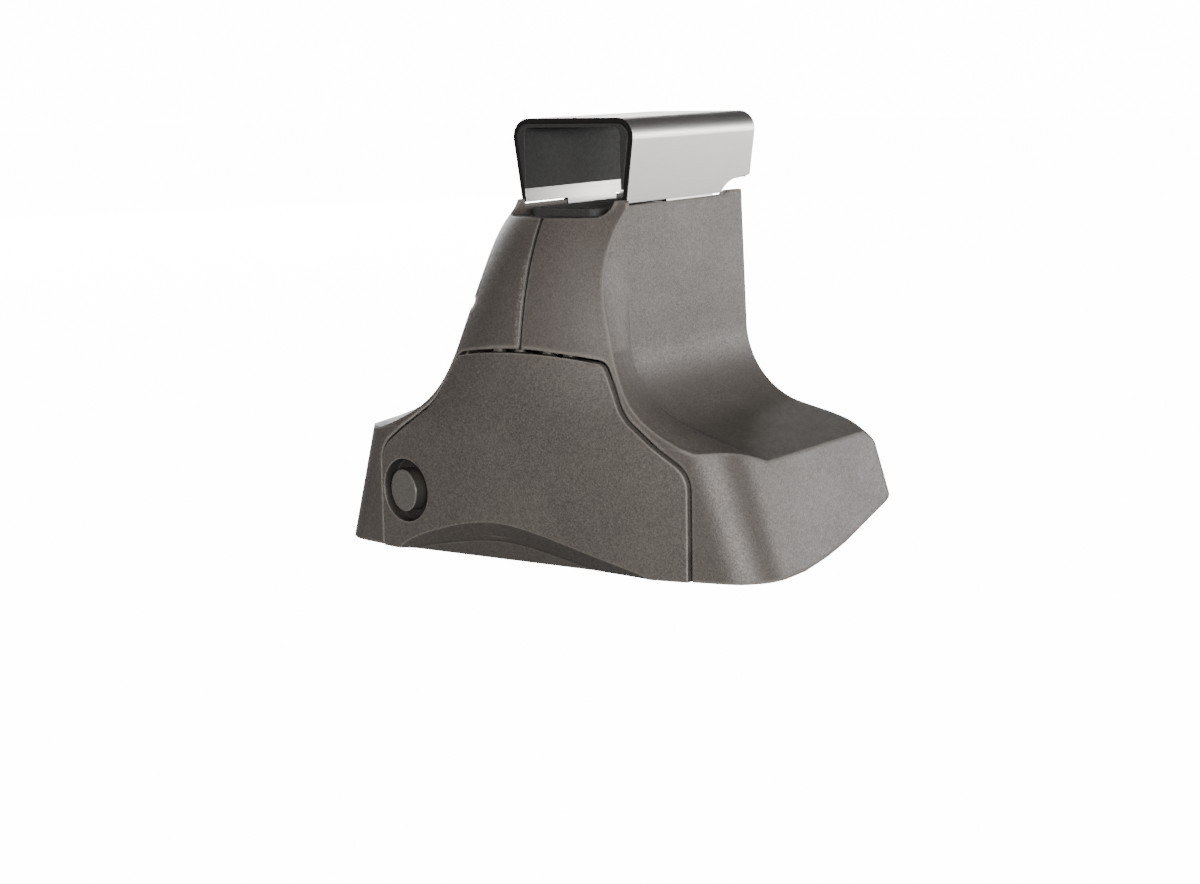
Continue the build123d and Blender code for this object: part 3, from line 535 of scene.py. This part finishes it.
FINISHES = {
    "housing_left": HOUSING_PLASTIC,
    "housing_right": HOUSING_PLASTIC,
    "front_cover": COVER_PLASTIC,
    "cradle_pad": PAD_RUBBER,
    "strap_liner": LINER_RUBBER,
    "bar_strap": STRAP_STEEL,
    "steel_frame": ZINC_STEEL,
    "base_plate": ZINC_STEEL,
    "lever_plates": ZINC_STEEL,
    "lever_spacer": ZINC_STEEL,
    "screw_washer": ZINC_STEEL,
    "trunnion_nut": ZINC_STEEL,
    "lock_tongue": ZINC_STEEL,
    "housing_screws": BOLT_STEEL,
    "frame_bolts": BOLT_STEEL,
    "base_screws": BOLT_STEEL,
    "tension_screw": BOLT_STEEL,
    "tongue_screw": BOLT_STEEL,
    "bridge_pin": PIN_STEEL,
    "pivot_pin": PIN_STEEL,
    "bracket_pin": PIN_STEEL,
    "hinge_pins": PIN_STEEL,
    "bridge_clips": CLIP_STEEL,
    "pivot_clips": CLIP_STEEL,
    "screw_clip": CLIP_STEEL,
    "lock_plug": LOCK_PAINT,
}


def finish_nodes():
    """Puts each node's own finish in all its material slots."""
    for name, material in FINISHES.items():
        node = nodes[name]
        if not node.material_slots:
            node.data.materials.append(material)
        for place in node.material_slots:
            place.material = material


finish_nodes()


# Lens and place of the camera, solved from the strap's and the housing's edges
SENSOR_MM = 36.0
LENS_MM = 67.49
CAMERA_PLACE = (0.35757, -0.54994, 0.02826)
CAMERA_RIGHT = (0.82954, 0.55790, -0.02471)
CAMERA_UP = (-0.07237, 0.15126, 0.98584)
CAMERA_BACK = (0.55374, -0.81601, 0.16585)

# Glow of the floor and the surround: for everything but the eye, then for the eye
FLOOR_GLOW = 0.08
FLOOR_GLOW_TO_THE_EYE = 15.0
HORIZON_GLOW = 0.42
CEILING_GLOW = 0.02
BACKDROP_GLOW = 16.0

FLOOR_HALF_WIDTH = 4.0
FLOOR_CLEARANCE = 0.0002

# Softboxes: name, place, what they face, width and height, watts and colour
SOFTBOXES = (
    ("key softbox", (1.08, -1.18, 0.15), (0.0, 0.0, -0.04), (1.1, 0.30), 54.0, (1.0, 0.975, 0.95)),
    ("rear fill", (-1.25, 1.0, 0.42), (0.0, 0.0, -0.04), (1.3, 0.9), 28.0, (1.0, 0.985, 0.97)),
    ("side panel", (1.1, 1.5, 0.05), (0.0, 0.0, 0.0), (1.6, 0.26), 22.0, (1.0, 0.98, 0.965)),
)


def pale_floor_material():
    """Pale floor that is plain white to the eye."""
    material, tree, shader = start_material("pale floor")
    shader.inputs["Base Color"].default_value = (0.42, 0.415, 0.41, 1.0)
    shader.inputs["Roughness"].default_value = 0.8
    shader.inputs["Emission Color"].default_value = (1.0, 0.99, 0.98, 1.0)
    path = add_node(tree, "ShaderNodeLightPath", 60, -300)
    glow = add_node(tree, "ShaderNodeMath", 260, -300, operation="MULTIPLY_ADD")
    glow.inputs[1].default_value = FLOOR_GLOW_TO_THE_EYE
    glow.inputs[2].default_value = FLOOR_GLOW
    tree.links.new(path.outputs["Is Camera Ray"], glow.inputs[0])
    tree.links.new(glow.outputs[0], shader.inputs["Emission Strength"])
    return material


def make_floor():
    """Floor just below the lowest point of the solids."""
    mesh = bpy.data.meshes.new("floor")
    half = FLOOR_HALF_WIDTH
    level = cad_box[0].z - FLOOR_CLEARANCE
    corners = [(-half, -half, level), (half, -half, level), (half, half, level), (-half, half, level)]
    mesh.from_pydata(corners, [], [(0, 1, 2, 3)])
    floor = bpy.data.objects.new("floor", mesh)
    floor.data.materials.append(pale_floor_material())
    bpy.context.scene.collection.objects.link(floor)


def make_softbox(name, place, target, size, power, colour):
    """Rectangular area light that faces its target."""
    data = bpy.data.lights.new(name, "AREA")
    data.shape = "RECTANGLE"
    data.size, data.size_y = size
    data.energy = power
    data.color = colour
    light = bpy.data.objects.new(name, data)
    light.location = place
    light.rotation_mode = "QUATERNION"
    light.rotation_quaternion = (Vector(place) - Vector(target)).to_track_quat("Z", "Y")
    bpy.context.scene.collection.objects.link(light)


def make_surround():
    """A bright band at eye height under a dark ceiling, and plain white to the eye."""
    world = bpy.data.worlds.new("studio surround")
    world.use_nodes = True
    tree = world.node_tree
    shade = tree.nodes["Background"]
    place = add_node(tree, "ShaderNodeTexCoord", -900, 0)
    split = add_node(tree, "ShaderNodeSeparateXYZ", -700, 0)
    height = from_range(tree, 0.06, 0.34, -500, 0, interpolation_type="SMOOTHSTEP")
    height.inputs["To Min"].default_value = HORIZON_GLOW
    height.inputs["To Max"].default_value = CEILING_GLOW
    path = add_node(tree, "ShaderNodeLightPath", -500, -300)
    seen = add_node(tree, "ShaderNodeMix", -250, 0)
    seen.inputs[3].default_value = BACKDROP_GLOW
    link = tree.links.new
    link(place.outputs["Generated"], split.inputs[0])
    link(split.outputs["Z"], height.inputs["Value"])
    link(path.outputs["Is Camera Ray"], seen.inputs[0])
    link(height.outputs["Result"], seen.inputs[2])
    link(seen.outputs[0], shade.inputs["Strength"])
    shade.inputs["Color"].default_value = (1.0, 0.985, 0.97, 1.0)
    bpy.context.scene.world = world


def make_camera():
    """Camera at the photograph's own viewpoint."""
    data = bpy.data.cameras.new("camera")
    data.sensor_width = SENSOR_MM
    data.lens = LENS_MM
    camera = bpy.data.objects.new("camera", data)
    turn = Matrix((CAMERA_RIGHT, CAMERA_UP, CAMERA_BACK)).transposed().to_4x4()
    camera.matrix_world = Matrix.Translation(CAMERA_PLACE) @ turn
    bpy.context.scene.collection.objects.link(camera)
    bpy.context.scene.camera = camera


make_floor()
make_camera()
make_surround()
for softbox in SOFTBOXES:
    make_softbox(*softbox)
